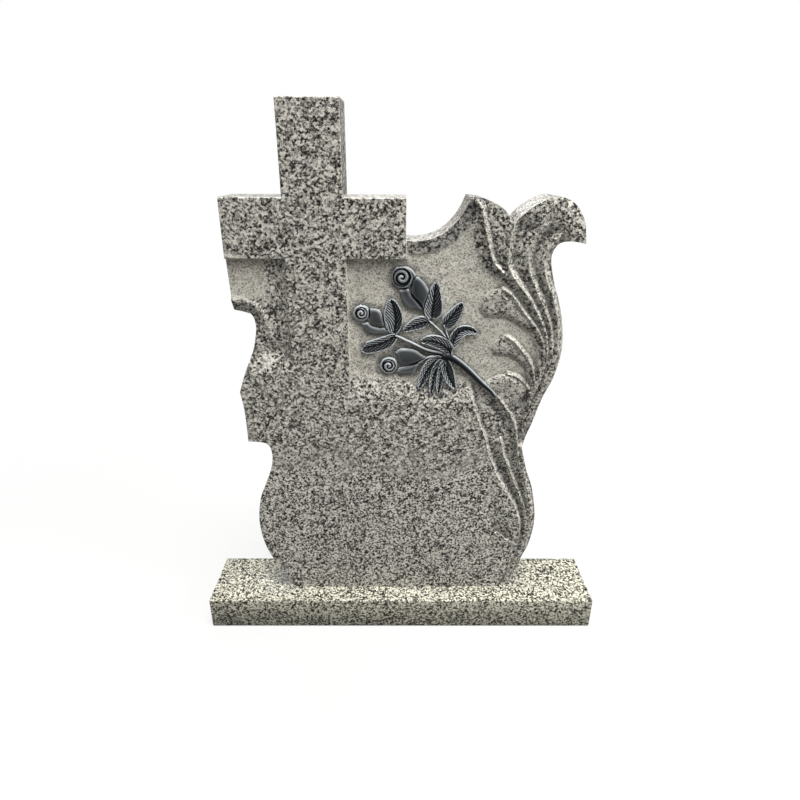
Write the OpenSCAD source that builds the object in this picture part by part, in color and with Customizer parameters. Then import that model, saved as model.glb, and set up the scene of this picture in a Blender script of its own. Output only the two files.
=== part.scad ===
// Granite headstone: an upright slab carved as a Latin cross beside a feathered
// wing, with a spray of three roses on a sunk panel, standing on a plain base.
// Millimetres, +Z up, front of the stone towards -Y, origin under the base's middle.

/* [Base] */
// Width of the base
base_w = 700; // [560:5:900]
// Depth of the base, front to back
base_d = 120; // [105:1:200]
// Height of the base
base_h = 60; // [40:1:100]
// Width of the dressed edge round the base's top
base_arris = 3; // [0.5:0.5:6]

/* [Slab] */
// Width of the stone across its widest tips
stone_w = 526; // [420:1:640]
// Height of the stone above the base
stone_h = 815; // [660:1:980]
// Thickness of the slab
slab_t = 80; // [60:1:100]
// Bare strip of the base behind the slab
back_ledge = 2; // [0:0.5:20]

/* [Cross] */
// Distance of the cross's middle to the left of the stone's middle
cross_off = 128; // [115:1:140]
// Width of the upright
upright_w = 86; // [70:1:104]
// Length of the crossbar
bar_w = 265; // [255:1:300]
// Height of the crossbar
bar_h = 84; // [60:1:102]
// Height of the arm that stands above the crossbar
arm_h = 125; // [90:1:150]

/* [Carving] */
// Depth of the sunk grounds below the face
recess_d = 9; // [6:0.5:12]
// Width of the raised flank along the wing's outer edge
flank_w = 9; // [6:0.5:14]
// Breadth of a feather rib on its gentle side
rib_w = 13; // [9:0.5:16]
// Breadth of a feather rib on its steep side
rib_drop = 4; // [2:0.5:6]
// Run of the slope from the panel's ground up to the lower face
slope_w = 24; // [12:1:32]

/* [Roses] */
// Radius of the largest rolled flower head
bloom_r = 16; // [12:0.5:19]
// Widest leaf, across
leaf_w = 25; // [18:0.5:30]
// Diameter of the main stem
stem_d = 9; // [6:0.5:12]

/* [Hidden] */

// Places on the stone are given on a drawing of this size, as [across, up]
// from the middle of the stone's foot, and follow the stone's own size.
drawing = [526, 815];
front_y = base_d / 2 - back_ledge - slab_t;
bar_top = stone_h - arm_h;
bar_foot = bar_top - bar_h;
upright_left = -cross_off - upright_w / 2;
upright_right = -cross_off + upright_w / 2;
bar_left = -cross_off - bar_w / 2;
bar_right = -cross_off + bar_w / 2;
// How far carving is rooted below the ground that it stands on
root = 3;
// The carving's highest parts stay this far below the face
shy = 0.4;
relief = recess_d - shy;

// The slab's edge, corner to corner. Each stretch is one smooth sweep.
left_belly = [[-190, 0], [-222, 42], [-244, 88], [-252.5, 140], [-247, 190],
    [-235, 222], [-222, 256], [-218.5, 284], [-227, 302], [-256, 306]];
left_shoulder = [[-256, 306], [-256, 340], [-257, 368], [-260.5, 395]];
left_hollow = [[-260.5, 395], [-247, 432], [-233, 466], [-226.5, 498],
    [-231, 518], [-241, 523], [-258, 527]];
top_hollow = [[6, 630], [30, 630.5], [55, 639], [74, 654], [88, 673], [96, 691]];
first_crest = [[96, 691], [112, 689.5], [130, 683], [147, 672], [160, 652]];
second_crest = [[160, 652], [172, 668], [192, 683], [219, 692], [243, 683],
    [259, 660], [265, 628]];
hook = [[265, 628], [244, 631], [228, 627], [219, 609], [225, 577], [236, 545],
    [246, 510], [250.5, 465], [243, 420], [228, 382], [215, 335], [202, 294]];
right_belly = [[202, 294], [214, 250], [228, 210], [238, 150], [233, 98],
    [221, 62], [200, 0]];

// Edges of the parts of the face that keep their full height
feather_edge = [[107, 400], [116, 368], [130, 335], [142, 295], [160, 250],
    [181, 205], [199, 170], [210, 140], [206, 90], [186, 45], [172, 0]];
field_edge = [[-176, 606], [-180, 570], [-175, 535], [-181, 500], [-178, 458],
    [-200, 438], [-232, 420], [-262, 396]];

// Crests of the wing's feather ribs, from tip to root
ribs = [
    [[104, 680], [118, 652], [127, 618], [143, 590], [160, 574]],
    [[157, 648], [155, 605], [170, 570], [195, 542], [213, 512], [224, 476],
        [224, 438], [214, 398], [206, 380]],
    [[199, 652], [186, 625], [184, 600], [193, 573], [211, 540], [226, 505],
        [233, 465], [229, 430], [216, 390], [208, 372]],
    [[212, 642], [205, 615], [208, 585], [222, 548], [234, 512], [239, 470],
        [234, 430], [222, 392], [211, 370]],
    [[140, 392], [166, 368], [181, 335], [191, 298], [197, 262], [207, 225],
        [220, 180], [227, 135], [222, 90], [208, 45]],
    [[163, 306], [172, 282], [187, 240], [204, 202], [217, 170], [222, 135],
        [214, 90], [198, 45]]];

// Height of the panel's lower edge on the stone
panel_foot = on_stone(feather_edge)[0].y;

// The raised flank lies outside this line
flank_reach = [[232, 815], [232, 600], [205, 560], [205, 330], [190, 294], [208, 230],
    [216, 150], [204, 60], [186, 0]];

// Middle lines of the broad leaflets between panel and ribs, root to tip
leaflets = [
    [[204, 470], [196, 503], [176, 528], [150, 539], [116, 540]],
    [[209, 418], [201, 444], [188, 464], [168, 473], [142, 471]],
    [[206, 352], [192, 382], [170, 402], [146, 412], [118, 414]]];

// Flower heads as [middle, share of the largest radius, foot of the bud]
blooms = [
    [[0, 580], 1, [34, 536]],
    [[-64, 526], 0.78, [-26, 504]],
    [[-18, 443], 0.82, [30, 450]]];

// Leaves as [midrib from stalk to tip, share of the widest leaf]
leaves = [
    [[[-9, 493], [-8, 518], [-17, 544]], 0.95],
    [[[-10, 494], [-32, 484], [-56, 468]], 0.85],
    [[[42, 520], [54, 546], [51, 574]], 1],
    [[[60, 516], [84, 522], [94, 542]], 1],
    [[[74, 484], [88, 500], [116, 498]], 0.9],
    [[[70, 478], [52, 492], [24, 494]], 1],
    [[[40, 516], [24, 516], [6, 500]], 0.85],
    [[[62, 456], [40, 444], [32, 406]], 0.95],
    [[[63, 456], [58, 430], [57, 396]], 1],
    [[[64, 456], [80, 440], [90, 406]], 0.95]];

// Stems as [route, diameter at its start and end as shares of the main stem's]
stems = [
    [[[150, 390], [134, 416], [114, 442], [92, 460], [72, 468]], 1, 0.75],
    [[[72, 468], [60, 492], [46, 514], [36, 534]], 0.6, 0.45],
    [[[72, 468], [40, 484], [6, 494], [-26, 504]], 0.6, 0.45],
    [[[72, 468], [54, 462], [30, 450]], 0.6, 0.5]];

function on_stone(p) =
    [for (q = p) [q.x * stone_w / drawing.x, q.y * stone_h / drawing.y]];

// The last point of a list, on the stone
function end_of(p) = on_stone([p[len(p) - 1]])[0];

// A smooth curve through the points, with n steps to each span
function curve(p, n) = concat([for (i = [0 : len(p) - 2], k = [0 : n - 1])
    let (a = p[max(i - 1, 0)], b = p[i], c = p[i + 1], d = p[min(i + 2, len(p) - 1)],
        t = k / n)
    b + ((c - a) * t + (2 * a - 5 * b + 4 * c - d) * t * t
        + (3 * b - a - 3 * c + d) * t * t * t) / 2], [p[len(p) - 1]]);

// A curve on the stone without its last point, to be followed by the next stretch
function stretch(p) = let (c = curve(on_stone(p), 4)) [for (i = [0 : len(c) - 2]) c[i]];

function unit(v) = v / norm(v);

// The across-direction of a curve at its point i, to the left of its travel
function side(c, i) = let (t = unit(c[min(i + 1, len(c) - 1)] - c[max(i - 1, 0)])) [-t.y, t.x];

// Turns a shape drawn as [across, up] into a layer of the slab between two depths
module layer(from, to)
    translate([0, front_y + to, base_h]) rotate([90, 0, 0]) linear_extrude(to - from) children();

// A carved strip along a curve. Its section is lw wide on the left, rw on the
// right and h high in the middle; swell is the height of its half-way points,
// and shape gives the share of that size at a share of the way along.
module strip(c, lw, rw, h, swell, shape) {
    n = len(c) - 1;
    s = [for (i = [0 : n]) max(shape(i / n), 0.04)];
    section = [[1, 0], [0.5, swell], [0, 1], [-0.5, swell], [-1, 0]];
    rings = [for (i = [0 : n]) let (w = side(c, i))
        concat([for (q = section)
            let (p = c[i] + w * q.x * s[i] * (q.x > 0 ? lw : rw))
            [p.x, front_y + recess_d - q.y * h * s[i], base_h + p.y]],
            [for (u = [-rw, lw]) let (p = c[i] + w * u * s[i])
            [p.x, front_y + recess_d + root, base_h + p.y]])];
    m = len(section) + 2;
    polyhedron([for (r = rings, p = r) p], concat(
        [[for (j = [0 : m - 1]) j], [for (j = [m - 1 : -1 : 0]) n * m + j]],
        [for (i = [0 : n - 1], j = [0 : m - 1]) let (k = (j + 1) % m)
            each [[i * m + j, (i + 1) * m + j, (i + 1) * m + k],
                [i * m + j, (i + 1) * m + k, i * m + k]]]));
}

// The whole front view of the stone
module outline() {
    polygon(concat(stretch(left_belly), stretch(left_shoulder), stretch(left_hollow),
        [end_of(left_hollow), [bar_left, bar_foot + bar_h / 2],
            [bar_right, bar_foot + bar_h / 2]],
        stretch(top_hollow), stretch(first_crest), stretch(second_crest),
        stretch(hook), stretch(right_belly), [end_of(right_belly)]));
    cross_shape(bar_foot);
}

// The cross from a given height upwards
module cross_shape(from) {
    translate([bar_left, bar_foot]) square([bar_w, bar_h]);
    translate([upright_left, from]) square([upright_w, stone_h - from]);
}

// What stays at the full height of the face: the cross, the broad lower part
// and the raised flank that runs down the wing's outer edge
module face() {
    cross_shape(0);
    difference() {
        polygon(concat([[-stone_w, 0], [-stone_w, bar_foot], [upright_right, bar_foot],
            [upright_right, panel_foot]], curve(on_stone(feather_edge), 3)));
        polygon(concat(curve(on_stone(field_edge), 3), [[-stone_w, bar_foot]]));
    }
    difference() {
        polygon(concat(on_stone(flank_reach), [[stone_w, 0], [stone_w, stone_h]]));
        offset(delta = -flank_w) outline();
    }
}
// The slope that leads from the panel's ground down to the lower face
module panel_slope()
    strip([[upright_right - 2, panel_foot - 1], [on_stone(feather_edge)[0].x - 1, panel_foot - 1]],
        slope_w, 2, recess_d - 0.2, 0.3, function (t) 1);

module feathers() {
    for (r = ribs)
        strip(curve(on_stone(r), 4), rib_drop, rib_w, relief, 0.35,
            function (t) min(1, 0.35 + 4 * t, 0.3 + 3 * (1 - t)));
    for (l = leaflets)
        strip(curve(on_stone(l), 4), rib_w, rib_w, relief * 0.8, 0.75,
            function (t) sqrt(max(0, 1 - pow(2.2 * t - 1.2, 4))) * (0.55 + 0.45 * t));
}

module stem(route, from, to) {
    c = curve(on_stone(route), 2);
    n = len(c) - 1;
    for (i = [0 : n - 1]) hull() for (k = [i, i + 1])
        translate([c[k].x, front_y + recess_d - 1, base_h + c[k].y])
            sphere(d = stem_d * (from + (to - from) * k / n), $fn = 8);
}

// A rolled flower head on a bud that tapers to its stalk
module bloom(middle, share, foot) {
    r = bloom_r * share;
    ends = on_stone([middle, foot]);
    along = unit(ends[1] - ends[0]);
    hull() {
        for (k = [[0.35, 0.95], [1.4, 1], [2.4, 0.7]])
            let (p = ends[0] + along * r * k[0])
                translate([p.x, front_y + recess_d, base_h + p.y])
                    scale([1, relief / (r * 0.95), 1]) sphere(r * k[1] * 0.95, $fn = 20);
        translate([ends[1].x, front_y + recess_d, base_h + ends[1].y])
            scale([1, 0.8, 1]) sphere(stem_d * 0.5, $fn = 12);
    }
    turns = 2.25;
    coil = [for (i = [0 : 36]) let (a = 360 * turns * i / 36, k = r * (1 - 0.72 * i / 36))
        ends[0] + k * [cos(a), sin(a)]];
    strip(coil, r * 0.1, r * 0.16, relief, 0.85, function (t) 1);
}

module leaf(midrib, share)
    strip(curve(on_stone(midrib), 5), leaf_w * share / 2, leaf_w * share / 2, relief * 0.8, 0.45,
        function (t) pow(sin(180 * pow(max(t, 0.001), 0.8)), 0.8));

module roses() {
    for (s = stems) stem(s[0], s[1], s[2]);
    for (b = blooms) bloom(b[0], b[1], b[2]);
    for (l = leaves) leaf(l[0], l[1]);
}

// The slab is cut to its outline last, through the ground and all the carving
module headstone() color("lightslategray") intersection() {
    layer(0, slab_t) outline();
    union() {
        layer(recess_d, slab_t + 1) translate([-stone_w, -1]) square([2 * stone_w, stone_h + 2]);
        layer(-1, recess_d + root) face();
        panel_slope();
        feathers();
        roses();
    }
}

module base() color("gainsboro")
    translate([-base_w / 2, 0, 0]) rotate([90, 0, 90]) linear_extrude(base_w)
        polygon([[-base_d / 2, 0], [base_d / 2, 0], [base_d / 2, base_h - base_arris],
            [base_d / 2 - base_arris, base_h], [base_arris - base_d / 2, base_h],
            [-base_d / 2, base_h - base_arris]]);

headstone();
base();
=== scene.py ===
import math
import bmesh
import bpy
import numpy as np
from mathutils import Matrix, Vector
from mathutils.kdtree import KDTree


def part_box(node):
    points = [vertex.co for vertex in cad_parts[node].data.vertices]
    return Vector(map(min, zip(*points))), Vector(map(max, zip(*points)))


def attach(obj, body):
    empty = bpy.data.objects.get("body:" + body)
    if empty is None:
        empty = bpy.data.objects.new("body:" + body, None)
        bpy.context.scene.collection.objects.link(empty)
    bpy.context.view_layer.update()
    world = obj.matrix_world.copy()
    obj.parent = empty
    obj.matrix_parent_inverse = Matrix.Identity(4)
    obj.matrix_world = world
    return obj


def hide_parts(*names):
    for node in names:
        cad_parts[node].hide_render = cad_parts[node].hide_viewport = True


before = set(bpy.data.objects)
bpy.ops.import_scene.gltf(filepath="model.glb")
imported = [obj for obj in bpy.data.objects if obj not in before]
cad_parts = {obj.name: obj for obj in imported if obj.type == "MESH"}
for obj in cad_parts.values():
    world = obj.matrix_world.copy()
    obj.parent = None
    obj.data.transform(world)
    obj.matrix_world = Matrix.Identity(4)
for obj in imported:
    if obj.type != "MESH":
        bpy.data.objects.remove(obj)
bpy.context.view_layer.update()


# ---- Viewpoint, floor and light
# The stone stands on a plain pale floor and is seen from the height of its
# crossbar. A broad lamp hangs overhead and a little in front, a small one stands
# on the right, and a wide dim one lights the back.
EYE = Vector((-0.0076, -0.8549, 0.8003))
LOOK_DOWN = 0.406
TURN = 0.005
LEAN = 0.004
LENS = 25.27
FLOOR_HALF = 30
FLOOR_TONE = (0.15, 0.15, 0.147, 1)
SEEN_FLOOR_TONE = (0.5, 0.5, 0.5, 1)
WHITE = (1, 1, 1, 1)
SKY_TONE = (1, 0.99, 0.96, 1)

forward = Vector((math.sin(TURN) * math.cos(LOOK_DOWN), math.cos(TURN) * math.cos(LOOK_DOWN),
                  -math.sin(LOOK_DOWN)))
level = Vector((math.cos(TURN), -math.sin(TURN), 0))
across = math.cos(LEAN) * level + math.sin(LEAN) * level.cross(forward)
upward = across.cross(forward)
camera = bpy.data.objects.new("camera", bpy.data.cameras.new("camera"))
camera.data.lens = LENS
camera.matrix_world = Matrix.Translation(EYE) @ Matrix((across, upward, -forward)).transposed().to_4x4()
bpy.context.scene.collection.objects.link(camera)
bpy.context.scene.camera = camera
bpy.context.scene.view_settings.view_transform = "Standard"


class Signal:
    """A number that varies over a surface. Arithmetic on it adds Math nodes."""

    def __init__(self, finish, socket):
        self.finish = finish
        self.socket = socket

    def math(self, operation, *others):
        values = {i + 1: other for i, other in enumerate(others)}
        return self.finish.node("ShaderNodeMath", {"operation": operation}, {0: self, **values})

    def __add__(self, other):
        return self.math("ADD", other)

    def __sub__(self, other):
        return self.math("SUBTRACT", other)

    def __rsub__(self, other):
        return self.finish.node("ShaderNodeMath", {"operation": "SUBTRACT"}, {0: other, 1: self})

    def __mul__(self, other):
        return self.math("MULTIPLY", other)

    __radd__ = __add__
    __rmul__ = __mul__

    def fade(self, start, end):
        """0 before start, 1 after end, smooth between."""
        return self.finish.node("ShaderNodeMapRange", {"interpolation_type": "SMOOTHSTEP"},
                                {"Value": self, "From Min": start, "From Max": end})


class Finish:
    """A material's nodes, or the world's."""

    def __init__(self, owner):
        owner.use_nodes = True
        self.tree = owner.node_tree
        self.tree.nodes.clear()

    def node(self, kind, settings=None, inputs=None, output=0):
        made = self.tree.nodes.new(kind)
        for name, value in (settings or {}).items():
            if name == "stops":
                while len(made.color_ramp.elements) < len(value):
                    made.color_ramp.elements.new(1)
                for stop, (place, colour) in zip(made.color_ramp.elements, value):
                    stop.position = place
                    stop.color = (*colour, 1)
            else:
                setattr(made, name, value)
        for name, value in (inputs or {}).items():
            if isinstance(value, Signal):
                self.tree.links.new(value.socket, made.inputs[name])
            else:
                made.inputs[name].default_value = value
        return Signal(self, made.outputs[output]) if made.outputs else None

    def blend(self, share, first, second):
        """One colour turning into another."""
        return self.node("ShaderNodeMix", {"data_type": "RGBA"},
                         {"Factor": share, "A": first, "B": second}, "Result")

    def stored(self, name):
        return self.node("ShaderNodeAttribute", {"attribute_name": name}, output="Fac")

    def surface(self, shader):
        self.node("ShaderNodeOutputMaterial", inputs={"Surface": shader})


floor_mesh = bpy.data.meshes.new("floor")
shape = bmesh.new()
bmesh.ops.create_grid(shape, x_segments=1, y_segments=1, size=FLOOR_HALF)
shape.to_mesh(floor_mesh)
shape.free()
floor = bpy.data.objects.new("floor", floor_mesh)
bpy.context.scene.collection.objects.link(floor)
# The eye sees a paler floor than the one that lights the stone, and it turns
# plain white farther off, so that the stone's shadow stays but no horizon shows
floor_paint = Finish(bpy.data.materials.new("pale floor"))
lit_floor = floor_paint.node("ShaderNodeBsdfDiffuse", inputs={"Color": FLOOR_TONE})
seen_floor = floor_paint.node("ShaderNodeBsdfDiffuse", inputs={"Color": SEEN_FLOOR_TONE})
glow = floor_paint.node("ShaderNodeEmission", inputs={"Color": WHITE})
floor_place = floor_paint.node("ShaderNodeTexCoord", output="Object")
away = floor_paint.node("ShaderNodeVectorMath", {"operation": "LENGTH"}, {0: floor_place}, "Value")
whiter = floor_paint.node("ShaderNodeMixShader", inputs={
    0: away.fade(0.5, 1.6) * 0.3 + 0.7, 1: seen_floor, 2: glow})
floor_eye = floor_paint.node("ShaderNodeLightPath", output="Is Camera Ray")
floor_paint.surface(floor_paint.node("ShaderNodeMixShader", inputs={
    0: floor_eye, 1: lit_floor, 2: whiter}))
floor.data.materials.append(bpy.data.materials["pale floor"])

world = bpy.data.worlds.new("studio")
bpy.context.scene.world = world
sky = Finish(world)
seen_sky = sky.node("ShaderNodeBackground", inputs={"Color": WHITE, "Strength": 1.0})
lit_sky = sky.node("ShaderNodeBackground", inputs={"Color": SKY_TONE, "Strength": 0.24})
sky_eye = sky.node("ShaderNodeLightPath", output="Is Camera Ray")
studio = sky.node("ShaderNodeMixShader", inputs={0: sky_eye, 1: lit_sky, 2: seen_sky})
sky.node("ShaderNodeOutputWorld", inputs={"Surface": studio})


def hang_lamp(name, place, target, size, power, colour):
    lamp = bpy.data.objects.new(name, bpy.data.lights.new(name, "AREA"))
    lamp.data.shape = "DISK"
    lamp.data.size = size
    lamp.data.energy = power
    lamp.data.color = colour
    lamp.location = place
    lamp.rotation_euler = (Vector(target) - Vector(place)).to_track_quat("-Z", "Y").to_euler()
    bpy.context.scene.collection.objects.link(lamp)


hang_lamp("key lamp", (2.4, -0.95, 1.9), (0.0, 0.0, 0.45), 0.8, 60, (1, 0.99, 0.97))
hang_lamp("top lamp", (0.12, -1.06, 5.2), (0.0, 0.0, 0.3), 3.0, 440, (1, 0.99, 0.96))
hang_lamp("back lamp", (-0.4, 4.4, 4.2), (0.0, 0.0, 0.2), 5.0, 210, (1, 1, 1))


# ---- Base
# A low block of the same granite, sawn to size, polished all over and with its
# arrises dressed off. The stone is bedded on it near its back edge.
BASE_ARRIS = 0.0022
# The base's tint makes it darker and yellower than the headstone of the same granite: painted shade and
# painted warm reflected light
BASE_SHADE_TINT = (0.85, 0.845, 0.73, 1)
BLACK_MICA = (0.010, 0.009, 0.009)
DARK_QUARTZ = (0.036, 0.034, 0.032)
GREY_QUARTZ = (0.16, 0.156, 0.149)
PALE_FELDSPAR = (0.34, 0.332, 0.318)
WHITE_FELDSPAR = (0.69, 0.68, 0.655)
DRESSED_STONE = (0.5, 0.475, 0.405, 1)
# The dark of stray paint, and of painted shade in the carving's hollows and along its rim
STAIN_AND_SHADE = (0.035, 0.038, 0.04, 1)
COARSE_GRAIN = 310
FINE_GRAIN = 385
CHISELLED_GRAIN = 500
MIDDLE_TONE = 0.52


def granite(name, tint):
    """Speckled granite, finer towards the foot. It is polished, but matt and paler where
    the mesh says dressed, which on the wing's crests is also a painted highlight, and
    darkened where the mesh marks stray paint and painted shade."""
    stone = Finish(bpy.data.materials.new(name))
    place = stone.node("ShaderNodeTexCoord", output="Object")
    wander = stone.node("ShaderNodeTexNoise", inputs={"Vector": place, "Scale": 260, "Detail": 2},
                        output="Color")
    moved = stone.node("ShaderNodeVectorMath", {"operation": "SCALE"}, {0: wander, "Scale": 0.0022})
    crooked = stone.node("ShaderNodeVectorMath", {"operation": "ADD"}, {0: place, 1: moved})

    def noise(scale, detail, roughness):
        return stone.node("ShaderNodeTexNoise", inputs={
            "Vector": place, "Scale": scale, "Detail": detail, "Roughness": roughness})

    def crystals(scale):
        tones = stone.node("ShaderNodeTexVoronoi", inputs={"Vector": crooked, "Scale": scale},
                           output="Color")
        return stone.node("ShaderNodeSeparateColor", inputs={"Color": tones})

    def speckle(scale, shift, contrast):
        """Crystals of so many to the metre, from black mica to white feldspar."""
        grain = crystals(scale) * 0.46 + crystals(scale * 2.1) * 0.3 \
            + noise(scale * 0.65, 2, 0.6) * 0.42 + noise(34, 1, 0.5) * 0.14 + (shift - MIDDLE_TONE)
        flecks = stone.node("ShaderNodeValToRGB", {"stops": [
            (0.27, BLACK_MICA), (0.38, DARK_QUARTZ), (0.46, GREY_QUARTZ), (0.57, PALE_FELDSPAR),
            (0.76, WHITE_FELDSPAR)]}, {"Fac": grain * contrast + MIDDLE_TONE})
        return stone.node("ShaderNodeMix", {"data_type": "RGBA", "blend_type": "MULTIPLY"},
                          {"Factor": 1.0, "A": flecks, "B": tint}, "Result")

    height = stone.node("ShaderNodeSeparateXYZ", inputs={"Vector": place}, output="Z")
    upper = (height + noise(18, 2, 0.5) * 0.2).fade(0.40, 0.46)
    polished = stone.blend(upper, speckle(FINE_GRAIN, -0.14, 1.6), speckle(COARSE_GRAIN, -0.135, 0.95))
    bite = stone.stored("dressed") + (crystals(520) - 0.5) * 0.8
    dressed = bite.fade(0.4, 0.75)
    bruised = stone.blend(0.32, speckle(CHISELLED_GRAIN, -0.025, 1.1), DRESSED_STONE)
    clean = stone.blend(dressed, polished, bruised)
    stained = stone.blend(stone.stored("stained"), clean, STAIN_AND_SHADE)
    pits = noise(420, 3, 0.7) * dressed
    relief = stone.node("ShaderNodeBump", inputs={"Strength": 0.55, "Distance": 0.0012,
                                                  "Height": pits})
    stone.surface(stone.node("ShaderNodeBsdfPrincipled", inputs={
        "Base Color": stained, "Roughness": dressed * 0.55 + 0.25, "Normal": relief,
        "Specular IOR Level": 0.45}))
    return bpy.data.materials[name]


def finished(name, shape, material, keen):
    """An object made of a bmesh, with edges sharper than keen degrees kept crisp."""
    mesh = bpy.data.meshes.new(name)
    shape.to_mesh(mesh)
    shape.free()
    for face in mesh.polygons:
        face.use_smooth = True
    mesh.set_sharp_from_angle(angle=math.radians(keen))
    mesh.materials.append(material)
    made = bpy.data.objects.new(name, mesh)
    bpy.context.scene.collection.objects.link(made)
    return made


low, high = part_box("base")
shape = bmesh.new()
bmesh.ops.create_cube(shape, size=1)
bmesh.ops.scale(shape, vec=high - low, verts=shape.verts)
bmesh.ops.translate(shape, vec=(low + high) / 2, verts=shape.verts)
bmesh.ops.bevel(shape, geom=shape.edges, offset=BASE_ARRIS, segments=2, profile=0.5,
                affect="EDGES", material=-1)
base_block = finished("base_block", shape, granite("base granite", BASE_SHADE_TINT), 30)
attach(base_block, "root")
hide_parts("base")


# ---- Headstone
# One slab, sawn to its outline, polished on its face, and then carved: the
# ground is sunk round the cross, and the wing's feathers are cut as long hollows
# that meet in sharp crests. Places on it are [across, up] in millimetres from
# the middle of its foot.
MM = 0.001
low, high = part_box("headstone")
FACE_Y = low.y
FOOT_Z = low.z
STONE_H = (high.z - low.z) / MM
SLAB_T = (high.y - low.y) / MM
ARRIS = 1.3
STONE_TINT = (1, 0.985, 0.94, 1)
CROSS_X = -128
UPRIGHT_W = 86
BAR_W = 265
BAR_H = 84
ARM_H = 125
BAR_TOP = STONE_H - ARM_H
BAR_FOOT = BAR_TOP - BAR_H
UPRIGHT_RIGHT = CROSS_X + UPRIGHT_W / 2
UPRIGHT_LEFT = CROSS_X - UPRIGHT_W / 2
BAR_RIGHT = CROSS_X + BAR_W / 2
BAR_LEFT = CROSS_X - BAR_W / 2

LEFT_BELLY = [(-190, 0), (-222, 42), (-244, 88), (-252.5, 140), (-247, 190), (-235, 222),
              (-222, 256), (-218.5, 284), (-227, 302), (-256, 306)]
LEFT_SHOULDER = [(-256, 306), (-256, 340), (-257, 368), (-260.5, 395)]
LEFT_HOLLOW = [(-260.5, 395), (-247, 432), (-233, 466), (-226.5, 498), (-231, 518),
               (-241, 523), (-258, 527)]
TOP_HOLLOW = [(6, 630), (30, 630.5), (55, 639), (74, 654), (88, 673), (96, 691)]
FIRST_CREST = [(96, 691), (112, 689.5), (130, 683), (147, 672), (160, 652)]
SECOND_CREST = [(160, 652), (172, 668), (192, 683), (219, 692), (243, 683), (259, 660),
                (265, 628)]
HOOK = [(265, 628), (244, 631), (228, 627), (219, 609), (225, 577), (236, 545), (246, 510),
        (250.5, 465), (243, 420), (228, 382), (215, 335), (202, 294)]
RIGHT_BELLY = [(202, 294), (214, 250), (228, 210), (238, 150), (233, 98), (221, 62), (200, 0)]


def curve(points, steps=8):
    """A smooth curve through the points, with so many steps to each span."""
    p = np.array(points, float)
    before = np.vstack([p[:1], p[:-2]])
    after = np.vstack([p[2:], p[-1:]])
    a, b, c, d = (v[:, None, :] for v in (before, p[:-1], p[1:], after))
    t = np.linspace(0, 1, steps, endpoint=False)[None, :, None]
    runs = b + ((c - a) * t + (2 * a - 5 * b + 4 * c - d) * t ** 2
                + (3 * b - a - 3 * c + d) * t ** 3) / 2
    return np.vstack([runs.reshape(-1, p.shape[1]), p[-1:]])


def smooth(value, start, end):
    """0 before start, 1 after end, smooth between."""
    t = np.clip((value - start) / (end - start), 0, 1)
    return t * t * (3 - 2 * t)


def from_line(x, z, line):
    """How far each place is from a line, to the left of its travel, and how far
    along the line its nearest point is."""
    travel = np.gradient(line, axis=0)
    travel /= np.linalg.norm(travel, axis=1)[:, None]
    off = np.empty(x.shape)
    along = np.empty(x.shape)
    for part in np.array_split(np.arange(x.size), max(1, x.size // 20000)):
        gap = np.stack([x[part], z[part]], 1)[:, None, :] - line[None]
        nearest = (gap ** 2).sum(2).argmin(1)
        gap = gap[np.arange(part.size), nearest]
        t = travel[nearest]
        side = t[:, 0] * gap[:, 1] - t[:, 1] * gap[:, 0]
        ended = (nearest == 0) | (nearest == len(line) - 1)
        off[part] = np.where(ended, np.copysign(np.hypot(gap[:, 0], gap[:, 1]), side), side)
        along[part] = nearest / (len(line) - 1)
    return off, along


GROUND = 9.5
RIM_GROUND = 8.0
FIELD_GROUND = 8
PROUD = -3.0
UNCUT = 30
FEATHER_EDGE = curve([(84, 470), (96, 430), (107, 400), (117, 368), (128, 337), (137, 317),
                      (141, 300), (147, 280), (156, 259), (165, 237), (176, 219), (188, 197),
                      (198, 179), (206, 158), (210, 142), (211, 118), (209, 90), (205, 64),
                      (196, 38), (183, 10), (172, -10)], 6)
FLANK_EDGE = curve(RIGHT_BELLY, 10)
TOP_EDGE = curve(TOP_HOLLOW, 10)
LEFT_EDGE = curve(LEFT_HOLLOW, 10)
PANEL_FOOT = 380
NICK = curve([(163, 124), (172, 122), (181, 116), (190, 105)], 8)
MATT_EDGE = curve([(96, 660), (100, 640), (106, 620), (114, 600), (127, 585), (144, 575),
                   (160, 566)], 6)

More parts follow.
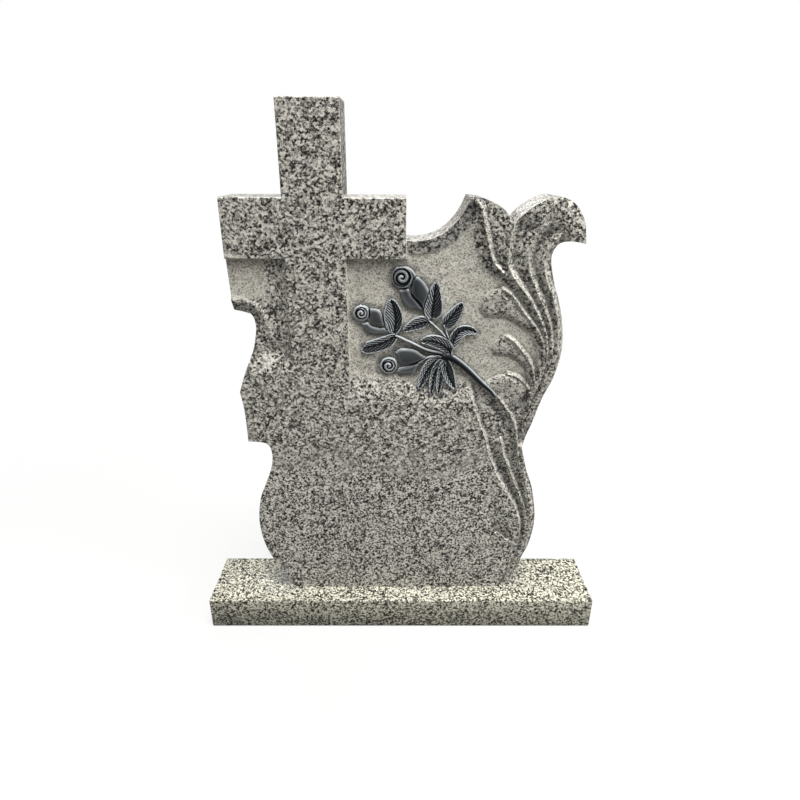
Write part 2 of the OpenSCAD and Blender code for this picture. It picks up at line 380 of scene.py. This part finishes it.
# The feathers' crests from tip to root: the line, how deep the crest lies at its
# tip and root, and the breadths of its steep side and of the hollow beside it
CRESTS = [
    ([(99, 688), (108, 682), (114, 668), (119, 648), (124, 630), (128, 615), (133, 602), (142, 592),
      (150, 585), (163, 574), (174, 564), (184, 550)], 0.6, 3.0, 7, 26),
    ([(159, 655), (157, 640), (155, 628), (154, 613), (155, 600), (158, 590), (164, 580), (172, 570),
      (182, 559), (190, 548), (198, 536), (207, 522), (215, 506), (221, 490), (225, 472),
      (226, 450), (222, 425), (216, 402), (211, 384)], 0.6, 1.5, 8, 22),
    ([(223, 661), (213, 658), (203, 652), (196, 645), (190, 636), (186, 626), (184, 614), (184, 602),
      (187, 588), (191, 578), (196, 568), (204, 552), (211, 540), (218, 525),
      (225, 510), (230, 490), (233, 470), (233, 450), (230, 430), (224, 405),
      (217, 386)], 1.4, 1.5, 10, 20),
    ([(238, 646), (229, 640), (220, 631), (213, 620), (209, 608), (208, 596), (212, 580), (217, 566),
      (227, 546), (237, 511), (241, 466), (235, 424), (221, 388), (209, 345),
      (198, 305)], 1.6, 1.2, 9, 18),
    ([(148, 563), (164, 553), (177, 536), (191, 519), (204, 504), (214, 488), (221, 470), (223, 449),
      (219, 421), (212, 395), (208, 372)], 2.6, 1.8, 6, 22),
    ([(158, 488), (171, 482), (183, 470), (194, 457), (203, 443), (209, 428), (212, 408), (210, 388),
      (205, 368)], 3.0, 2.2, 5, 20),
    ([(166, 426), (183, 421), (195, 411), (205, 398), (209, 383), (205, 362)], 3.2, 2.5, 5, 16),
    ([(150, 392), (163, 376), (174, 360), (182, 346), (188, 333), (191, 314), (195, 291), (200, 266),
      (209, 244)], 2.0, 2.2, 5, 15),
    ([(165, 310), (168, 299), (172, 280), (182, 257), (192, 232), (202, 210), (210, 192), (217, 172),
      (222, 150), (224, 125), (222, 102), (214, 75), (202, 45)], 2.4, 2.0, 5, 14)]
HOLLOW_DEPTH = 7.5
# Three broad leaflets lie between the roses and the feathers: each one's outline,
# how high it stands off the ground, the breadth of its rounded edge, and how it
# climbs to the right and up
LEAFLETS = [
    ([(117, 533), (121, 547), (131, 557), (146, 561), (161, 555), (177, 537), (190, 521),
      (201, 507), (208, 494), (200, 492), (187, 500), (172, 511), (154, 517), (134, 517),
      (121, 522)], 5.0, 11, 0.03, 0.03),
    ([(141, 465), (145, 478), (156, 486), (169, 484), (182, 472), (193, 459), (201, 447),
      (205, 432), (196, 434), (184, 446), (170, 454), (156, 455), (146, 457)], 4.8, 10, 0.03, 0.03),
    ([(126, 402), (138, 414), (152, 422), (168, 425), (184, 420), (196, 410), (204, 396), (196, 384),
      (182, 370), (166, 366), (150, 380)], 5.6, 12, 0.02, 0.05)]


def within(x, z, loop):
    """Which places lie inside a closed line."""
    inside = np.zeros(x.shape, bool)
    for (x0, z0), (x1, z1) in zip(loop, np.roll(loop, -1, axis=0)):
        crossed = (z0 > z) != (z1 > z)
        inside ^= crossed & (x < (x1 - x0) * (z - z0) / (z1 - z0 + 1e-12) + x0)
    return inside


def swelling(x, z, outline, height, edge, lean_x, lean_z):
    """Height of a carved leaf or petal, rounded over at its edge."""
    loop = curve(outline + outline[:1], 6)[:-1]
    inside = within(x, z, loop)
    gap, _ = from_line(x, z, np.vstack([loop, loop[:1]]))
    round_over = np.sqrt(1 - (1 - np.clip(np.abs(gap) / edge, 0, 1)) ** 2)
    middle = loop.mean(0)
    top = height + lean_x * (x - middle[0]) + lean_z * (z - middle[1])
    return np.where(inside, top * round_over, 0)


def feathers(x, z):
    """Depth of the carved feathers: the highest of the surfaces that fall from each crest."""
    depth = np.full(x.shape, float(UNCUT))
    for points, tip, root, steep, hollow in CRESTS:
        line = curve(points, 8)
        near = (x > line[:, 0].min() - 45) & (x < line[:, 0].max() + 45) \
            & (z > line[:, 1].min() - 45) & (z < line[:, 1].max() + 45)
        off, along = from_line(x[near], z[near], line)
        crest = tip + (root - tip) * along
        ends = 5 * (1 - smooth(along, 0, 0.03)) * (tip > 1.8) + 4 * smooth(along, 0.93, 1)
        down = np.clip(off / steep, 0, 4)
        lee = np.clip(-off / (hollow * (1 - 0.5 * smooth(along, 0.3, 0.9))), 0, 4)
        fall = np.where(off > 0, down ** 0.85,
                        1 - (1 - np.minimum(lee, 1)) ** 1.7 + np.maximum(lee - 1, 0) * 0.6)
        depth[near] = np.minimum(depth[near], crest + ends + fall * HOLLOW_DEPTH)
    off, along = from_line(x, z, FLANK_EDGE)
    inside = np.abs(off)
    flank = 9.0 * smooth(along, 0.0, 0.3) + 0.5
    outer = 1.2 + np.clip(1 - inside / flank, 0, 1) ** 1.2 * 5.5
    inner = 1.2 + (1 - (1 - np.clip((inside - flank) / 15, 0, 1)) ** 1.7) * HOLLOW_DEPTH \
        + np.maximum(inside - flank - 15, 0) * 0.3
    depth = np.minimum(depth, np.where(inside < flank, outer, inner) + 6 * (x < 120))
    hook, _ = from_line(x, z, curve([(196, 672), (214, 674), (234, 665), (250, 650), (262, 630)], 8))
    lobe = 1.0 + (np.abs(hook) / 26) ** 2 * 5 + 5 * smooth(z, 630, 600)
    depth = np.minimum(depth, np.where(z > 560, lobe, UNCUT))
    for leaflet in LEAFLETS:
        depth = np.minimum(depth, GROUND + 0.5 - swelling(x, z, *leaflet))
    return depth


def past_cross(x, z):
    """How far each place lies outside the cross, on its right and below its bar."""
    upright = np.where(x > CROSS_X, x - UPRIGHT_RIGHT, 99)
    return np.minimum(upright, np.maximum(x - BAR_RIGHT, BAR_FOOT - z))


def carving(x, z):
    """Depth of the carved surface below the face. Where nothing is cut, it stands proud."""
    # The panel's ground, tooled by hand, with a polished rim under the hollow top
    rim_gap, _ = from_line(x, z, TOP_EDGE)
    in_rim = (1 - smooth(np.abs(rim_gap), 17, 21)) * (x > UPRIGHT_RIGHT)
    ground = GROUND + (RIM_GROUND - GROUND) * in_rim
    tooling = 0.35 * np.sin(x / 9.1 + 2 * np.sin(z / 17)) * np.sin(z / 7.3 + np.sin(x / 13))
    depth = ground + tooling * (1 - in_rim) - 1.5 * smooth(np.hypot(x - 5, (z - 405) * 1.6), 30, 12)
    depth = np.minimum(depth, feathers(x, z))
    # The plain face below: the panel slopes up to it, and one nick is cut in it
    past_edge, _ = from_line(x, z, FEATHER_EDGE)
    foot_z = PANEL_FOOT - 18 * np.exp(-((x - 57) / 40) ** 2)
    foot = GROUND * smooth(z - foot_z, 0, 52) - 8 * smooth(z - foot_z, 0, -20)
    nick, along = from_line(x, z, NICK)
    foot = np.where((nick > 0) & (along > 0) & (along < 1), np.maximum(foot, 4.2 - nick * 0.35), foot)
    depth = np.minimum(depth, np.maximum(foot, past_edge * 1.5))
    # The small field on the left, with the rolled edge and the bowl at its foot
    field = FIELD_GROUND * smooth(-x, 170, 182) * smooth(z, 424, 462)
    edge_gap, _ = from_line(x, z, LEFT_EDGE)
    edge_gap = np.abs(edge_gap)
    roll = 5 * np.clip(1 - edge_gap / 13, 0, 1) ** 1.4 - 3.2 * np.exp(-((edge_gap - 16) / 5) ** 2)
    bowl = 2 * smooth(np.hypot((x + 198) / 1.4, z - 462), 20, 4)
    rolled = (roll * smooth(z, 484, 516) + bowl) * smooth(field, 1, 6)
    left = np.where(field > 0.05, field + rolled, PROUD)
    depth = np.where(x < UPRIGHT_LEFT + 8, left, depth)
    # The cross is left standing, with steep sides
    depth = np.minimum(depth, 4 * past_cross(x, z))
    return np.clip(depth, PROUD, UNCUT)


def prism(loop, front, back):
    """A slab sawn to a closed line, its front and back arrises dressed off."""
    shape = bmesh.new()
    corners = [shape.verts.new((x * MM, FACE_Y + front * MM, FOOT_Z + z * MM)) for x, z in loop]
    face = shape.faces.new(corners)
    grown = bmesh.ops.extrude_face_region(shape, geom=[face])["geom"]
    bmesh.ops.translate(shape, vec=(0, (back - front) * MM, 0),
                        verts=[v for v in grown if isinstance(v, bmesh.types.BMVert)])
    bmesh.ops.recalc_face_normals(shape, faces=shape.faces)
    rims = [e for e in shape.edges if abs(e.verts[0].co.y - e.verts[1].co.y) < 1e-6]
    bmesh.ops.bevel(shape, geom=rims, offset=ARRIS * MM, segments=1, profile=0.5,
                    affect="EDGES", material=-1)
    return shape


def kept_within(shape, block):
    """The part of a shape that lies inside another."""
    pair = []
    for part in (shape, block):
        mesh = bpy.data.meshes.new("blank")
        part.to_mesh(mesh)
        part.free()
        pair.append(bpy.data.objects.new("blank", mesh))
        bpy.context.scene.collection.objects.link(pair[-1])
    tool = pair[0].modifiers.new("cut", "BOOLEAN")
    tool.operation = "INTERSECT"
    tool.solver = "MANIFOLD"
    tool.object = pair[1]
    graph = bpy.context.evaluated_depsgraph_get()
    result = bmesh.new()
    result.from_mesh(pair[0].evaluated_get(graph).to_mesh())
    for spent in pair:
        bpy.data.objects.remove(spent)
    return result


# The slab's whole front view, clockwise from the foot of its left side
cross_sides = [(BAR_LEFT, BAR_FOOT), (BAR_LEFT, BAR_TOP), (UPRIGHT_LEFT, BAR_TOP),
               (UPRIGHT_LEFT, STONE_H), (UPRIGHT_LEFT + UPRIGHT_W, STONE_H),
               (UPRIGHT_LEFT + UPRIGHT_W, BAR_TOP), (BAR_RIGHT, BAR_TOP), (BAR_RIGHT, 630)]
outline = [*curve(LEFT_BELLY)[:-1], *curve(LEFT_SHOULDER)[:-1], *curve(LEFT_HOLLOW), *cross_sides,
           *curve(TOP_HOLLOW)[1:-1], *curve(FIRST_CREST)[:-1], *curve(SECOND_CREST)[:-1],
           *curve(HOOK)[:-1], *curve(RIGHT_BELLY)]
slab = prism(outline, 0, SLAB_T)

# The carved front is a block whose columns and rows are close where it is carved
COLUMNS = [(-275, -264, 2), (-264, -165, 44), (-165, UPRIGHT_RIGHT - 2, 2),
           (UPRIGHT_RIGHT - 2, 275, 236)]
ROWS = [(-12, 380, 150), (380, BAR_FOOT + 2, 152), (BAR_FOOT + 2, 695, 56), (695, STONE_H + 10, 2)]


def spacing(runs):
    """Places along one direction, closer in some runs than in others."""
    parts = [np.linspace(start, end, count, endpoint=False) for start, end, count in runs]
    return np.append(np.concatenate(parts), runs[-1][1])


across_marks = spacing(COLUMNS)
up_marks = spacing(ROWS)
block = bmesh.new()
bmesh.ops.create_grid(block, x_segments=len(across_marks) - 1, y_segments=len(up_marks) - 1, size=0.5)
block.verts.ensure_lookup_table()
unit = np.array([v.co[:2] for v in block.verts]) + 0.5
x = across_marks[np.rint(unit[:, 0] * (len(across_marks) - 1)).astype(int)]
z = up_marks[np.rint(unit[:, 1] * (len(up_marks) - 1)).astype(int)]
depth = carving(x, z)
for vert, place in zip(block.verts, np.stack([x * MM, FACE_Y + depth * MM, FOOT_Z + z * MM], 1)):
    vert.co = place
rim = [e for e in block.edges if e.is_boundary]
grown = bmesh.ops.extrude_edge_only(block, edges=rim)["geom"]
back_rim = [e for e in grown if isinstance(e, bmesh.types.BMEdge)]
for vert in {v for e in back_rim for v in e.verts}:
    vert.co.y = high.y + 0.01
bmesh.ops.holes_fill(block, edges=[e for e in block.edges if e.is_boundary], sides=0)
bmesh.ops.recalc_face_normals(block, faces=block.faces)
slab = kept_within(slab, block)
bmesh.ops.dissolve_degenerate(slab, dist=1e-6, edges=slab.edges)
# A sliver that closed up can leave a stray edge with no face
bmesh.ops.delete(slab, geom=[v for v in slab.verts if not v.link_faces], context="VERTS")


def dressed_share(x, z, depth):
    """1 where the sunk ground was left matt from the chisel, 0 where it was polished.
    On the steep sides of the cut edges it is also a painted highlight.
    """
    ragged = 5 * np.sin(x / 8.3) + 3 * np.sin(x / 3.7 + z / 9)
    panel = smooth(depth, 5.8, 8.4) * (x > UPRIGHT_RIGHT - 3) * smooth(z + ragged, 388, 422)
    rim, _ = from_line(x, z, TOP_EDGE)
    panel *= smooth(np.abs(rim), 15, 21)
    bound, _ = from_line(x, z, MATT_EDGE)
    wing = smooth(bound + ragged * 0.4, 4, -4)
    gaps = (z > 412) * (z < 522) * smooth(x + ragged, 180, 164)
    panel *= np.maximum(wing, gaps)
    field = smooth(depth, 6, 7.5) * smooth(-x, 196, 209) * (z < BAR_FOOT + 3)
    edge_gap, _ = from_line(x, z, LEFT_EDGE)
    field *= smooth(z + ragged, 532, 548) * smooth(np.abs(edge_gap), 9, 14)
    slope = 0.3 * smooth(depth, 0.8, 2.5) * smooth(depth, 7.8, 5.5) * smooth(z, 440, 460) * (x < CROSS_X)
    wall = smooth(depth, 0.6, 1.2) * smooth(depth, 8.5, 7) * (x > CROSS_X) \
        * (past_cross(x, z) < 2.6) * (z > 400)
    share = panel + field * (x < UPRIGHT_LEFT) + slope + wall
    # Each cut edge: its line, the breadth and the share of its bared side, and how
    # far along it the side stays bare. The bared side is matt where it was cut, and
    # its paleness is also a painted highlight where it faces the light.
    edges = [(curve(crest[0], 8), crest[3], 0.42, 0.5) for crest in CRESTS]
    edges += [(FEATHER_EDGE, 5, 0.55, 0.85), (NICK, 5, 1.2, 1)]
    for line, steep, bared, bright_until in edges:
        off, along = from_line(x, z, line)
        share = np.maximum(share, bared * smooth(np.abs(off - steep * 0.45), steep * 0.75, steep * 0.3)
                           * smooth(along, 0, 0.04)
                           * (0.25 + 0.75 * smooth(along, bright_until + 0.3, bright_until))
                           * (depth > 0.05))
    for leaflet in LEAFLETS:
        share = np.maximum(share, 0.4 * smooth(swelling(x, z, *leaflet), 0.5, 3))
    return np.clip(share, 0, 1)


def hollowness(x, z):
    """How much deeper each place lies than the stone round it, in millimetres."""
    pitch = 2.5
    wide, tall = 220, 300
    marks = np.meshgrid(-275 + pitch * np.arange(wide), -20 + pitch * np.arange(tall))
    deep = np.maximum(carving(marks[0].ravel(), marks[1].ravel()), 0).reshape(tall, wide)
    level = deep
    for axis in (0, 1, 0, 1):
        level = sum(np.roll(level, step, axis) for step in range(-2, 3)) / 5
    gap = deep - level
    column = np.clip((x + 275) / pitch, 0, wide - 1.001)
    row = np.clip((z + 20) / pitch, 0, tall - 1.001)
    i, j = row.astype(int), column.astype(int)
    u, v = row - i, column - j
    return (gap[i, j] * (1 - u) + gap[i + 1, j] * u) * (1 - v) \
        + (gap[i, j + 1] * (1 - u) + gap[i + 1, j + 1] * u) * v


# Where each corner of the slab is: across, deep and up
slab.verts.index_update()
spots = np.array([v.co for v in slab.verts]) / MM
spots[:, 1] -= FACE_Y / MM
spots[:, 2] -= FOOT_Z / MM


def carved(face, corners):
    """Whether a face of the slab looks forward and was cut below the polished face."""
    return face.normal.y < -0.25 and max(spots[i, 1] for i in corners) > 0.05


share = dressed_share(spots[:, 0], spots[:, 2], spots[:, 1])
hollow = hollowness(spots[:, 0], spots[:, 2])
in_wing = (spots[:, 1] > 0.05) * smooth(spots[:, 0], 92, 112)
# The wing's raised places are made paler and matt, a painted highlight on its crests
share = np.clip(share + 0.28 * smooth(-hollow, 0.5, 2) * in_wing, 0, 1)
# Painted shade: the wing's hollows are darkened, and the sunk panel along the rim under the hollow top,
# and a little over the panel's right part
rim_gap, _ = from_line(spots[:, 0], spots[:, 2], TOP_EDGE)
shaded = 0.4 * smooth(np.abs(rim_gap), 21, 15) + 0.08 * smooth(spots[:, 0], 40, 110)
in_panel = (spots[:, 1] > 4) * (spots[:, 0] > UPRIGHT_RIGHT) * (spots[:, 2] > PANEL_FOOT)
painted_shade = np.maximum(0.55 * smooth(hollow, 0.1, 1.8) * in_wing, shaded * in_panel)
layers = [slab.loops.layers.float.new(name) for name in ("dressed", "stained")]
for face in slab.faces:
    if carved(face, [v.index for v in face.verts]):
        for corner in face.loops:
            corner[layers[0]] = share[corner.vert.index]
            corner[layers[1]] = painted_shade[corner.vert.index]
headstone = finished("carved_slab", slab, granite("headstone granite", STONE_TINT), 38)
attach(headstone, "root")
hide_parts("headstone")


# ---- Roses
# Three rosebuds with their leaves and stalks stand in relief in the sunk panel.
# They are carved from the same stone and painted dark grey, with the paint worn
# thin on the ridges. Over that, light and shade are painted: one half of each leaf
# lighter and the other darker, each stalk lighter along its upper side, and each
# petal lighter towards its crown as a painted highlight.
CELL = 0.8
SPRAY = [(-82, 156), (384, 604)]
SUNK = 1.5
BEDDED = 0.6
# The darkest paint, where it lies thick and where shade is painted, and the palest, where it is worn
# thin and where light is painted
DEEP_AND_SHADED_PAINT = (0.007, 0.009, 0.013, 1)
WORN_AND_LIT_PAINT = (0.40, 0.43, 0.445, 1)
# Each petal: its outline, how high it stands off the ground, the breadth of its
# rounded edge, and how it leans to the right and up
PETALS = [
    ([(-10, 594), (-14, 588), (-17, 579), (-15, 569), (-8, 563), (2, 561), (12, 565), (17, 573),
      (20, 581), (14, 590), (4, 595)], 5.5, 3, 0, 0.02),
    ([(12, 564), (13, 574), (20, 580), (30, 574), (38, 563), (41, 554), (36, 540), (32, 528),
      (25, 539), (15, 549)], 6.4, 4.5, 0.03, 0.01),
    ([(-6, 559), (1, 561), (9, 561), (13, 553), (21, 544), (32, 529), (19, 530), (9, 531), (0, 541),
      (-4, 551)], 5.8, 4.5, -0.02, -0.02),
    ([(-64, 537), (-72, 533), (-76, 524), (-75, 515), (-68, 510), (-59, 511), (-52, 517), (-50, 526),
      (-54, 534)], 5.5, 3, 0, 0.02),
    ([(-52, 525), (-49, 531), (-41, 531), (-34, 528), (-30, 519), (-27, 506), (-33, 503), (-43, 505),
      (-49, 512)], 6.6, 4.5, 0.02, 0.02),
    ([(-64, 508), (-59, 509), (-53, 509), (-47, 504), (-36, 501), (-26, 501), (-19, 494), (-33, 491),
      (-44, 491), (-56, 495)], 5.8, 4, 0, -0.02),
    ([(-21, 454), (-31, 450), (-36, 440), (-34, 430), (-26, 424), (-15, 426), (-9, 434), (-8, 444),
      (-12, 451)], 5.5, 3, 0, 0.02),
    ([(-12, 461), (-7, 466), (1, 468), (19, 466), (33, 457), (41, 451), (24, 444), (10, 440),
      (1, 441), (-6, 446)], 6.4, 4.5, 0, 0.02),
    ([(-9, 429), (-4, 436), (10, 439), (24, 444), (29, 446), (24, 435), (19, 426), (7, 424),
      (-4, 424)], 5.8, 4.5, 0, -0.02)]
# Each rosebud's heart: its middle, its radius and its turn
HEARTS = [(-1.4, 578, 14, 0.6), (-63, 523.5, 9.5, 2.2), (-21.5, 439, 11, 1.2)]
# Each leaf: its midrib from base to tip, its breadths to the left and right of it,
# and which half is painted lit, the other being painted in shade: 1 the left, -1 the right
LEAVES = [
    ([(-13, 491), (-10, 512), (-13, 531), (-18, 546)], 19, 11, 1),
    ([(-9, 489), (-29, 477), (-56, 469), (-61, 470)], 12, 10, -1),
    ([(44, 515), (45, 527), (47, 543), (49, 571)], 13, 16, 1),
    ([(61, 506), (68, 511), (79, 525), (91, 541)], 9, 14, 1),
    ([(78, 468), (80, 480), (88, 494), (102, 498), (117, 493)], 9, 11, -1),
    ([(77, 460), (64, 472), (46, 479), (28, 479)], 9, 13, -1),
    ([(42, 510), (30, 508), (16, 503), (1, 495)], 8, 12, -1),
    ([(64, 451), (50, 444), (37, 425), (27, 399)], 9, 11, -1),
    ([(65, 451), (56, 438), (49, 415), (46, 389)], 8, 7, -1),
    ([(66, 451), (63, 432), (60, 410), (58, 390)], 6, 7, -1),
    ([(66, 451), (70, 434), (76, 416), (85, 400)], 11, 9, -1)]
# Each stalk: its line, its breadth at both ends and how high it stands
STALKS = [
    ([(66, 455), (78, 452), (100, 436), (127, 410), (143, 396), (154, 381), (161, 364), (165, 344)],
     13, 6, 8),
    ([(82, 450), (62, 458), (38, 464), (14, 476), (-10, 488)], 10, 5, 6.5),
    ([(80, 450), (66, 452), (50, 455), (38, 452), (26, 444)], 4, 3, 6.5),
    ([(77, 460), (76, 474), (70, 488), (64, 505)], 4, 3, 6),
    ([(76, 462), (72, 478), (62, 492), (43, 510)], 4.5, 3, 6),
    ([(78, 452), (77, 462), (78, 470)], 5, 3, 6.5),
    ([(32, 529), (36, 520), (43, 508)], 4, 3, 5)]


def heart_heights(x, z, middle_x, middle_z, size, turn):
    """Petals rolled into a bud: a spiral of steps that climbs to the middle."""
    reach = np.hypot(x - middle_x, z - middle_z) / size
    round_about = np.arctan2(z - middle_z, x - middle_x) / (2 * np.pi)
    lap = (reach * 1.7 - round_about + turn) % 1
    roll = 8.2 - 1.4 * reach ** 2 - 4.0 * np.abs(lap * 2 - 1) ** 2.5
    return np.where(reach < 1, roll * np.sqrt(np.clip(1 - reach ** 8, 0, 1)), 0)


def leaf_heights(x, z, midrib, left, right, pale):
    """A leaf creased along its midrib, with slanting veins and a raised edge, and
    how much paler than the rest each place of it is: worn paint on the veins and the
    edge, and painted light on one half and painted shade on the other."""
    line = curve(midrib, 8)
    length = np.linalg.norm(np.diff(line, axis=0), axis=1).sum()
    off, along = from_line(x, z, line)
    breadth = np.where(off > 0, left, right) * np.sin(np.pi * np.clip(along, 0, 1) ** 0.8) ** 0.6
    out = np.abs(off) / np.maximum(breadth, 0.2)
    veins = np.abs(np.sin(np.pi * (along * length - np.abs(off) * 1.7) / 6.4)) ** 2
    inner = smooth(out, 0.04, 0.25) * (1 - smooth(out, 0.8, 0.95))
    blade = 3.4 + 2.4 * out ** 1.3 + 1.2 * veins * inner + 0.8 * smooth(out, 0.8, 0.92)
    blade = np.where(out < 1, blade * (1 - smooth(out, 0.93, 1.0) * 0.55), 0)
    # One half painted lit and the other painted in shade; veins and edge paler where worn
    paler = (np.where(off * pale > 0, 0.1, -0.4) + 1.0 * (veins - 0.6)) * inner \
        + 0.3 * smooth(out, 0.8, 0.92) - 0.1
    return blade, paler


def stalk_heights(x, z, line, first, last, height):
    """A stalk, half round, with painted light along its upper side and painted shade along its lower."""
    off, along = from_line(x, z, curve(line, 8))
    half = (first + (last - first) * along) / 2
    upper = off * np.sign(line[-1][0] - line[0][0]) / half
    # Painted light and shade: lighter on the upper side, darker on the lower
    return height * np.sqrt(np.clip(1 - (off / half) ** 2, 0, 1)), 0.12 * np.clip(upper, -1, 1) - 0.24


wide, tall = (int(round((end - start) / CELL)) for start, end in SPRAY)
marks = np.meshgrid(SPRAY[0][0] + CELL * np.arange(wide + 1), SPRAY[1][0] + CELL * np.arange(tall + 1))
x, z = (m.ravel() for m in marks)
height = np.zeros(x.shape)
paler = np.zeros(x.shape)
for leaf in LEAVES:
    blade, shade = leaf_heights(x, z, *leaf)
    blade += 2.2 * smooth(z, 425, 395) * (blade > 0)
    paler = np.where(blade > height, shade, paler)
    height = np.maximum(height, blade)
for stalk in STALKS:
    grown, shade = stalk_heights(x, z, *stalk)
    paler = np.where(grown > height, shade, paler)
    height = np.maximum(height, grown)
for petal in PETALS:
    grown = swelling(x, z, *petal)
    # Each petal is paler towards its crown, a painted highlight
    paler = np.where(grown > height, 0.32 * (grown / grown.max()) ** 4 - 0.31, paler)
    height = np.maximum(height, grown)
for heart in HEARTS:
    rolled = heart_heights(x, z, *heart)
    paler = np.where(rolled > 0, (rolled - 7.5) * 0.22, paler)
    height = np.where(rolled > 0, rolled, height)
height = np.where(height > 0, height - BEDDED, -SUNK)
field = height.reshape(tall + 1, wide + 1)
spread = field.copy()
for axis in (0, 1):
    spread = sum(np.roll(spread, step, axis) for step in range(-2, 3)) / 5
# Paler where the paint is worn on the ridges, and where light and shade are painted
rubbed = np.clip(0.40 + (field - spread).ravel() * 0.55 + paler, 0, 1)

spray = bmesh.new()
bmesh.ops.create_grid(spray, x_segments=wide, y_segments=tall, size=0.5)
spray.verts.ensure_lookup_table()
unit = np.array([v.co[:2] for v in spray.verts]) + 0.5
order = np.rint(unit[:, 1] * tall).astype(int) * (wide + 1) + np.rint(unit[:, 0] * wide).astype(int)
worn_and_lit_layer = spray.verts.layers.float.new("rubbed")
for vert, i in zip(spray.verts, order):
    vert[worn_and_lit_layer] = rubbed[i]
    vert.co = (x[i] * MM, FACE_Y + (GROUND - height[i]) * MM, FOOT_Z + z[i] * MM)
sunk_y = FACE_Y + (GROUND + SUNK - 0.01) * MM
bare = [f for f in spray.faces if all(v.co.y > sunk_y for v in f.verts)]
bmesh.ops.delete(spray, geom=bare, context="FACES")
pinched = [v for v in spray.verts if sum(e.is_boundary for e in v.link_edges) > 2]
bmesh.ops.delete(spray, geom=list({f for v in pinched for f in v.link_faces}), context="FACES")
under = bmesh.ops.extrude_face_region(spray, geom=spray.faces[:], use_keep_orig=True)["geom"]
for part in under:
    if isinstance(part, bmesh.types.BMVert):
        part.co.y = FACE_Y + (GROUND + 2 * SUNK) * MM
bmesh.ops.recalc_face_normals(spray, faces=spray.faces)


def rose_paint():
    """Dark grey paint over stone, paler where it is worn thin on the ridges and where light and shade
    are painted.
    """
    paint = Finish(bpy.data.materials.new("rose paint"))
    place = paint.node("ShaderNodeTexCoord", output="Object")
    wear = paint.node("ShaderNodeTexNoise", inputs={"Vector": place, "Scale": 160, "Detail": 3})
    share = paint.stored("rubbed").fade(0.25, 0.85)
    colour = paint.blend(share, DEEP_AND_SHADED_PAINT, WORN_AND_LIT_PAINT)
    paint.surface(paint.node("ShaderNodeBsdfPrincipled", inputs={
        "Base Color": colour, "Roughness": wear * 0.2 + 0.4, "Specular IOR Level": 0.18}))
    return bpy.data.materials["rose paint"]


rose_spray = finished("rose_spray", spray, rose_paint(), 50)
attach(rose_spray, "root")
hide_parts("headstone")


def strayed_paint_and_shade(x, z):
    """How much the ground round the roses is darkened: partly their paint that strayed onto it, partly
    painted shade where the relief meets the ground.
    """
    marks = [curve(points, 5) for points, *_ in PETALS + LEAVES + STALKS]
    marks += [np.array([(a, b)]) for a, b, _, _ in HEARTS]
    tree = KDTree(sum(len(m) for m in marks))
    count = 0
    for mark in marks:
        for a, b in mark:
            tree.insert((a, b, 0), count)
            count += 1
    tree.balance()
    near = (x > -95) & (x < 165) & (z > 375) & (z < 615)
    gap = np.full(x.shape, 99.0)
    gap[near] = [tree.find((a, b, 0))[2] for a, b in zip(x[near], z[near])]
    patchy = 0.75 + 0.25 * np.sin(x / 7 + 3 * np.sin(z / 11))
    return 0.62 * (1 - smooth(gap, 1.5, 11)) * patchy


# Stray paint and painted contact shade darken the ground round the roses
stray_paint_and_shade = strayed_paint_and_shade(spots[:, 0], spots[:, 2]) * (spots[:, 1] > 2)
marks = headstone.data.attributes["stained"].data
for face in headstone.data.polygons:
    if carved(face, face.vertices):
        for corner, i in zip(face.loop_indices, face.vertices):
            marks[corner].value = max(marks[corner].value, stray_paint_and_shade[i])
